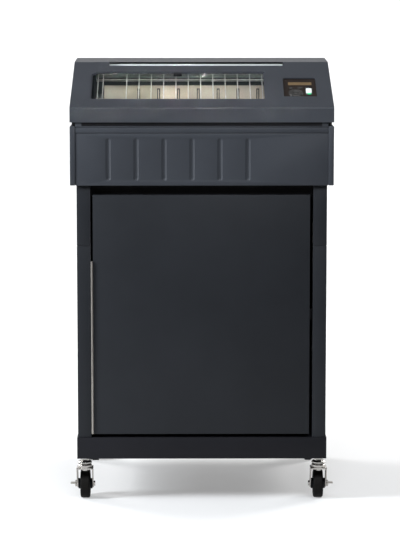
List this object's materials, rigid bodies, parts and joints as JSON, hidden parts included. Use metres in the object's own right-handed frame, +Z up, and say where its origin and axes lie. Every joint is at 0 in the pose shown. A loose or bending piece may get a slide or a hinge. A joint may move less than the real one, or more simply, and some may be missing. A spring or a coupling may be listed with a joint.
{
  "type": "dot matrix printer",
  "caption": "Floor-standing dot matrix line printer: hinged hood with window and control panel over a wheeled cabinet with a side-hinged door.",
  "frame": {"origin": "on the floor under the middle of the machine's width and depth", "axes": "+X to the viewer's right along the width, -Y to the front where the operator stands, +Z up"},
  "size_m": [0.7006, 0.62, 1.1659],
  "materials": {
    "cabinet_paint": "fine textured powder coat",
    "plinth_paint": "satin",
    "cover_plastic": "fine grain",
    "plated_steel": "zinc plated",
    "black_plastic": "matt",
    "beige_paint": "satin",
    "bright_chrome": "polished",
    "clear_window": "clear",
    "pale_plastic": "satin",
    "panel_gloss": "high gloss",
    "key_plastic": "gloss",
    "amber_display": "gloss",
    "cast_aluminium": "machined",
    "tyre_rubber": "moulded"
  },
  "bodies": {
    "cabinet": {"plinth": "plinth_paint", "left_side_panel": "cabinet_paint", "right_side_panel": "cabinet_paint", "upper_left_panel": "cabinet_paint", "upper_right_panel": "cabinet_paint", "rear_panel": "cabinet_paint", "front_cross_rail": "black_plastic", "hinge_fixed_leaf": "plated_steel", "door_catch": "black_plastic", "base_pan": "plated_steel", "base_front_panel": "cover_plastic", "left_end_panel": "cover_plastic", "right_end_panel": "cover_plastic", "base_rear_panel": "cover_plastic", "power_inlet": "black_plastic", "interface_panel": "plated_steel", "card_cage": "plated_steel", "left_side_frame": "plinth_paint", "right_side_frame": "plinth_paint", "paper_guide": "beige_paint", "guide_bar": "plated_steel", "support_rods": "bright_chrome", "feed_motor": "black_plastic", "hood_hinges": "plated_steel"},
    "hood": {"hood_shell": "cover_plastic", "window_pane": "clear_window", "wire_guard": "bright_chrome", "slot_lip": "pale_plastic", "control_bezel": "panel_gloss", "display_window": "amber_display"},
    "door": {"door_panel": "cabinet_paint", "hinge_door_leaf": "plated_steel"},
    "nav_ring": {"nav_ring": "key_plastic"},
    "enter_key": {"enter_key": "key_plastic"},
    "left_key": {"left_key": "key_plastic"},
    "right_key": {"right_key": "key_plastic"},
    "online_key": {"online_key": "pale_plastic"},
    "stop_key": {"stop_key": "black_plastic"},
    "front_left_fork": {"front_left_fork": "bright_chrome"},
    "front_left_wheel": {"front_left_wheel": "tyre_rubber"},
    "front_right_fork": {"front_right_fork": "bright_chrome"},
    "front_right_wheel": {"front_right_wheel": "tyre_rubber"},
    "rear_left_fork": {"rear_left_fork": "bright_chrome"},
    "rear_left_wheel": {"rear_left_wheel": "tyre_rubber"},
    "rear_right_fork": {"rear_right_fork": "bright_chrome"},
    "rear_right_wheel": {"rear_right_wheel": "tyre_rubber"},
    "left_brake": {"left_brake": "plated_steel"},
    "right_brake": {"right_brake": "plated_steel"},
    "drive_shaft": {"drive_shaft": "plated_steel"},
    "left_tractor": {"left_tractor": "black_plastic"},
    "left_gate": {"left_gate": "plinth_paint"},
    "right_tractor": {"right_tractor": "black_plastic"},
    "right_gate": {"right_gate": "plinth_paint"},
    "left_spool": {"left_spool": "black_plastic"},
    "right_spool": {"right_spool": "black_plastic"},
    "shuttle": {"shuttle": "cast_aluminium"},
    "platen_lever": {"platen_lever": "black_plastic"},
    "platen": {"platen": "cast_aluminium"},
    "fan_rotor": {"fan_rotor": "black_plastic"},
    "power_switch": {"power_switch": "black_plastic"}
  },
  "joints": [
    {"name": "hood_hinge", "type": "hinge", "parent": "cabinet", "child": "hood", "pos_m": [0, 0.3, 1.008], "axis": [-1, 0, 0], "range_deg": [0, 60]},
    {"name": "door_hinge", "type": "hinge", "parent": "cabinet", "child": "door", "pos_m": [-0.2895, -0.2965, 0.415], "axis": [0, 0, -1], "range_deg": [0, 110]},
    {"name": "nav_ring_press", "type": "slide", "parent": "hood", "child": "nav_ring", "axis": [0, 0.4065, -0.9137], "range_m": [0, 0.0012], "stiffness_N_per_m": 250, "springref_m": -0.0015},
    {"name": "enter_key_press", "type": "slide", "parent": "hood", "child": "enter_key", "axis": [0, 0.4065, -0.9137], "range_m": [0, 0.0012], "stiffness_N_per_m": 250, "springref_m": -0.0015},
    {"name": "left_key_press", "type": "slide", "parent": "hood", "child": "left_key", "axis": [0, 0.4065, -0.9137], "range_m": [0, 0.0012], "stiffness_N_per_m": 250, "springref_m": -0.0015},
    {"name": "right_key_press", "type": "slide", "parent": "hood", "child": "right_key", "axis": [0, 0.4065, -0.9137], "range_m": [0, 0.0012], "stiffness_N_per_m": 250, "springref_m": -0.0015},
    {"name": "online_key_press", "type": "slide", "parent": "hood", "child": "online_key", "axis": [0, 0.4065, -0.9137], "range_m": [0, 0.0012], "stiffness_N_per_m": 250, "springref_m": -0.0015},
    {"name": "stop_key_press", "type": "slide", "parent": "hood", "child": "stop_key", "axis": [0, 0.4065, -0.9137], "range_m": [0, 0.0012], "stiffness_N_per_m": 250, "springref_m": -0.0015},
    {"name": "front_left_swivel", "type": "hinge", "parent": "cabinet", "child": "front_left_fork", "pos_m": [-0.312, -0.2655, 0.094], "axis": [0, 0, 1], "continuous": true},
    {"name": "front_left_roll", "type": "hinge", "parent": "front_left_fork", "child": "front_left_wheel", "pos_m": [-0.312, -0.2335, 0.038], "axis": [1, 0, 0], "continuous": true},
    {"name": "front_right_swivel", "type": "hinge", "parent": "cabinet", "child": "front_right_fork", "pos_m": [0.312, -0.2655, 0.094], "axis": [0, 0, 1], "continuous": true},
    {"name": "front_right_roll", "type": "hinge", "parent": "front_right_fork", "child": "front_right_wheel", "pos_m": [0.312, -0.2335, 0.038], "axis": [1, 0, 0], "continuous": true},
    {"name": "rear_left_swivel", "type": "hinge", "parent": "cabinet", "child": "rear_left_fork", "pos_m": [-0.312, 0.2375, 0.094], "axis": [0, 0, 1], "continuous": true},
    {"name": "rear_left_roll", "type": "hinge", "parent": "rear_left_fork", "child": "rear_left_wheel", "pos_m": [-0.312, 0.2695, 0.038], "axis": [1, 0, 0], "continuous": true},
    {"name": "rear_right_swivel", "type": "hinge", "parent": "cabinet", "child": "rear_right_fork", "pos_m": [0.312, 0.2375, 0.094], "axis": [0, 0, 1], "continuous": true},
    {"name": "rear_right_roll", "type": "hinge", "parent": "rear_right_fork", "child": "rear_right_wheel", "pos_m": [0.312, 0.2695, 0.038], "axis": [1, 0, 0], "continuous": true},
    {"name": "left_brake_pedal", "type": "hinge", "parent": "front_left_fork", "child": "left_brake", "pos_m": [-0.312, -0.2335, 0.038], "axis": [1, 0, 0], "range_deg": [0, 25]},
    {"name": "right_brake_pedal", "type": "hinge", "parent": "front_right_fork", "child": "right_brake", "pos_m": [0.312, -0.2335, 0.038], "axis": [1, 0, 0], "range_deg": [0, 25]},
    {"name": "drive_shaft_turn", "type": "hinge", "parent": "cabinet", "child": "drive_shaft", "pos_m": [0, -0.054, 1], "axis": [1, 0, 0], "continuous": true},
    {"name": "left_tractor_slide", "type": "slide", "parent": "cabinet", "child": "left_tractor", "axis": [1, 0, 0], "range_m": [-0.005, 0.02]},
    {"name": "left_gate_hinge", "type": "hinge", "parent": "left_tractor", "child": "left_gate", "pos_m": [-0.262, -0.08, 1.016], "axis": [0, 0, -1], "range_deg": [0, 110]},
    {"name": "right_tractor_slide", "type": "slide", "parent": "cabinet", "child": "right_tractor", "axis": [1, 0, 0], "range_m": [-0.23, 0]},
    {"name": "right_gate_hinge", "type": "hinge", "parent": "right_tractor", "child": "right_gate", "pos_m": [0.262, -0.08, 1.016], "axis": [0, 0, 1], "range_deg": [0, 110]},
    {"name": "left_spool_turn", "type": "hinge", "parent": "cabinet", "child": "left_spool", "pos_m": [-0.215, -0.215, 0.919], "axis": [0, 0, 1], "continuous": true},
    {"name": "right_spool_turn", "type": "hinge", "parent": "cabinet", "child": "right_spool", "pos_m": [0.215, -0.215, 0.919], "axis": [0, 0, 1], "continuous": true},
    {"name": "shuttle_slide", "type": "slide", "parent": "cabinet", "child": "shuttle", "axis": [1, 0, 0], "range_m": [-0.008, 0.008]},
    {"name": "lever_hinge", "type": "hinge", "parent": "cabinet", "child": "platen_lever", "pos_m": [-0.292, -0.0665, 0.9473], "axis": [1, 0, 0], "range_deg": [0, 35]},
    {"name": "platen_slide", "type": "slide", "parent": "cabinet", "child": "platen", "axis": [0, 1, 0], "range_m": [0, 0.004]},
    {"name": "fan_spin", "type": "hinge", "parent": "cabinet", "child": "fan_rotor", "pos_m": [-0.2, 0.29, 0.925], "axis": [0, 1, 0], "continuous": true},
    {"name": "switch_rock", "type": "hinge", "parent": "cabinet", "child": "power_switch", "pos_m": [0.2, 0.3045, 0.88], "axis": [-1, 0, 0], "range_deg": [0, 12]}
  ],
  "couplings": [
    {"joint": "right_spool_turn", "follows": "left_spool_turn", "ratio": 1},
    {"joint": "platen_slide", "follows": "lever_hinge", "m_per_rad": 0.0065}
  ]
}
